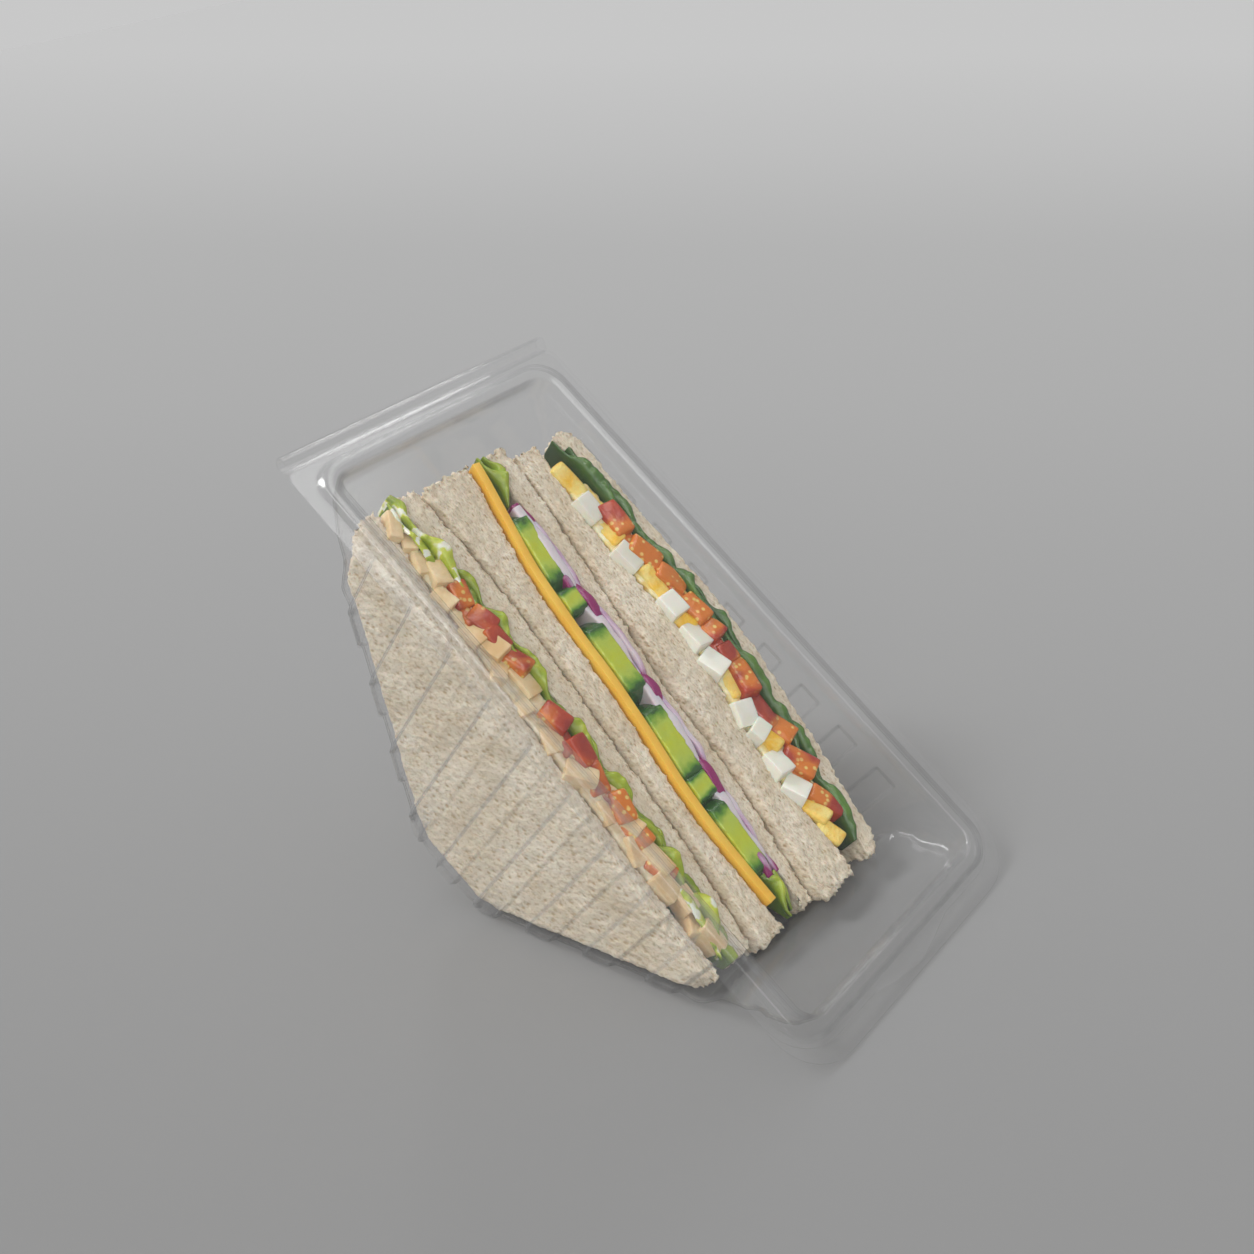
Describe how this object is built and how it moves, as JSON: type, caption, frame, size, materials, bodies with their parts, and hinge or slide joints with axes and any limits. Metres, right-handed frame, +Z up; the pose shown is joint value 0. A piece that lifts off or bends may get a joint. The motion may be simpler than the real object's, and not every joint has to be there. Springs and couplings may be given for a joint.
{
  "type": "hinged sandwich wedge pack",
  "caption": "Clear hinged wedge pack with ribbed walls and a lid that presses shut, holding cut sandwiches of chicken, cheese and egg with salad.",
  "frame": {"origin": "centre of the bounding box in X and Y, on the ground under the front leg in Z", "axes": "+X across the pack from the near side wall to the far one, +Y towards the hinge and the back, +Z up; the lid slopes down towards -Y"},
  "size_m": [0.0936, 0.137, 0.1353],
  "materials": {
    "clear_film": "clear gloss thermoformed film",
    "bread": "soft white bread crumb",
    "chicken": "moist cooked chicken",
    "tomato": "wet cut tomato",
    "lettuce": "crisp leaf",
    "cheddar": "smooth cheese",
    "cucumber": "wet cut cucumber",
    "onion": "wet cut red onion",
    "egg_white": "smooth boiled egg white",
    "egg_yolk": "crumbly boiled yolk",
    "spinach": "dark leaf"
  },
  "bodies": {
    "tub": {"tub": "clear_film", "bread_chicken_near": "bread", "bread_chicken_far": "bread", "bread_cheddar_near": "bread", "bread_cheddar_far": "bread", "bread_egg_near": "bread", "bread_egg_far": "bread", "chicken_piece_1": "chicken", "chicken_piece_2": "chicken", "chicken_piece_3": "chicken", "chicken_piece_4": "chicken", "chicken_piece_5": "chicken", "chicken_piece_6": "chicken", "chicken_piece_7": "chicken", "chicken_piece_8": "chicken", "chicken_filling": "chicken", "tomato_chicken_piece_1": "tomato", "tomato_chicken_piece_2": "tomato", "tomato_chicken_piece_3": "tomato", "tomato_chicken_piece_4": "tomato", "tomato_chicken_piece_5": "tomato", "tomato_egg_piece_1": "tomato", "tomato_egg_piece_2": "tomato", "tomato_egg_piece_3": "tomato", "tomato_egg_piece_4": "tomato", "tomato_egg_piece_5": "tomato", "lettuce_leaf_1": "lettuce", "lettuce_leaf_2": "lettuce", "lettuce_scrap_1": "lettuce", "lettuce_scrap_2": "lettuce", "cheddar_slice": "cheddar", "cucumber_slice_1": "cucumber", "cucumber_slice_2": "cucumber", "cucumber_slice_3": "cucumber", "cucumber_slice_4": "cucumber", "cucumber_slice_5": "cucumber", "cucumber_slice_6": "cucumber", "cucumber_end_1": "cucumber", "cucumber_end_2": "cucumber", "onion_slice_1": "onion", "onion_slice_2": "onion", "onion_slice_3": "onion", "onion_slice_4": "onion", "egg_white_piece_1": "egg_white", "egg_white_piece_2": "egg_white", "egg_white_piece_3": "egg_white", "egg_white_piece_4": "egg_white", "egg_white_piece_5": "egg_white", "egg_yolk_piece_1": "egg_yolk", "egg_yolk_piece_2": "egg_yolk", "egg_yolk_piece_3": "egg_yolk", "egg_yolk_piece_4": "egg_yolk", "egg_yolk_piece_5": "egg_yolk", "egg_yolk_piece_6": "egg_yolk", "egg_filling": "egg_yolk", "spinach_leaf_1": "spinach", "spinach_leaf_2": "spinach", "spinach_leaf_3": "spinach"},
    "lid": {"lid": "clear_film"}
  },
  "joints": [
    {"name": "lid_hinge", "type": "hinge", "parent": "tub", "child": "lid", "pos_m": [0, 0.06641, 0.13486], "axis": [-1, 0, 0], "range_deg": [0, 180]}
  ]
}
